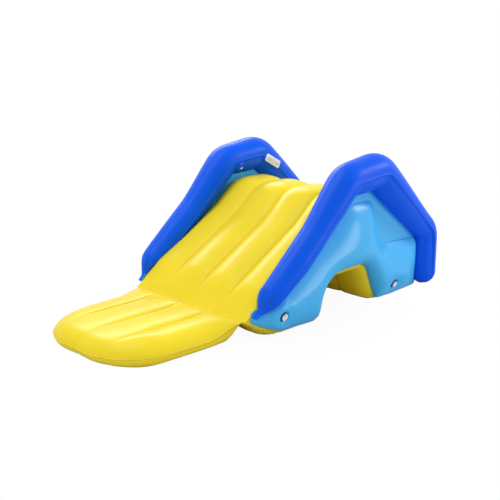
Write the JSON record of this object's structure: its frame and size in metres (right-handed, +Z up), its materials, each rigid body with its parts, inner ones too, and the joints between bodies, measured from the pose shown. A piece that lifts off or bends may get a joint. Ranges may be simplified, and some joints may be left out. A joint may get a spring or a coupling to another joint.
{
  "type": "inflatable water slide",
  "caption": "Inflatable water slide with a channelled bed over an arch, two guard bolsters, a rear climbing step, hand straps and a fold-up landing pad.",
  "frame": {"origin": "on the ground, at the middle of the slide's length and width", "axes": "+Z up, +Y from the landing pad to the climbing step, +X to the side with the two large valves"},
  "size_m": [1.3, 2.49, 0.9538],
  "materials": {
    "yellow_vinyl": "soft glossy PVC sheet",
    "light_blue_vinyl": "soft glossy PVC sheet",
    "royal_blue_vinyl": "soft glossy PVC sheet",
    "white_vinyl": "moulded soft PVC",
    "grey_vinyl": "moulded soft PVC, satin",
    "navy_vinyl": "moulded soft PVC"
  },
  "bodies": {
    "slide": {"body_chamber": "yellow_vinyl", "body_baffle_left": "yellow_vinyl", "body_baffle_centre": "yellow_vinyl", "body_baffle_right": "yellow_vinyl", "side_web_left": "light_blue_vinyl", "side_web_right": "light_blue_vinyl", "side_panel_left": "light_blue_vinyl", "side_panel_right": "light_blue_vinyl", "bolster_left": "royal_blue_vinyl", "bolster_right": "royal_blue_vinyl", "handle_base_left": "white_vinyl", "handle_base_right": "white_vinyl", "handle_grip_left": "grey_vinyl", "handle_grip_right": "grey_vinyl", "front_valve_seat": "navy_vinyl", "rear_valve_seat": "navy_vinyl", "bolster_valve_left_seat": "navy_vinyl", "bolster_valve_right_seat": "navy_vinyl"},
    "pad": {"landing_pad": "yellow_vinyl", "pad_baffle_left": "yellow_vinyl", "pad_baffle_centre": "yellow_vinyl", "pad_baffle_right": "yellow_vinyl"},
    "front_cap": {"front_valve_cap": "white_vinyl"},
    "rear_cap": {"rear_valve_cap": "white_vinyl"},
    "bolster_cap_left": {"bolster_valve_left_cap": "white_vinyl"},
    "bolster_cap_right": {"bolster_valve_right_cap": "white_vinyl"}
  },
  "joints": [
    {"name": "pad_fold", "type": "hinge", "parent": "slide", "child": "pad", "pos_m": [0, -0.475, 0.118], "axis": [-1, 0, 0], "range_deg": [0, 85]},
    {"name": "front_cap_flip", "type": "hinge", "parent": "slide", "child": "front_cap", "pos_m": [0.57677, -0.25604, 0.13694], "axis": [0, -1, 0], "range_deg": [0, 110]},
    {"name": "rear_cap_flip", "type": "hinge", "parent": "slide", "child": "rear_cap", "pos_m": [0.57214, 0.79402, 0.09637], "axis": [0, -1, 0], "range_deg": [0, 110]},
    {"name": "bolster_cap_flip_left", "type": "hinge", "parent": "slide", "child": "bolster_cap_left", "pos_m": [-0.42006, 0.36523, 0.77585], "axis": [0, -0.9928, -0.1202], "range_deg": [0, 110]},
    {"name": "bolster_cap_flip_right", "type": "hinge", "parent": "slide", "child": "bolster_cap_right", "pos_m": [0.42006, 0.36523, 0.77585], "axis": [0, 0.9928, 0.1202], "range_deg": [0, 110]}
  ]
}
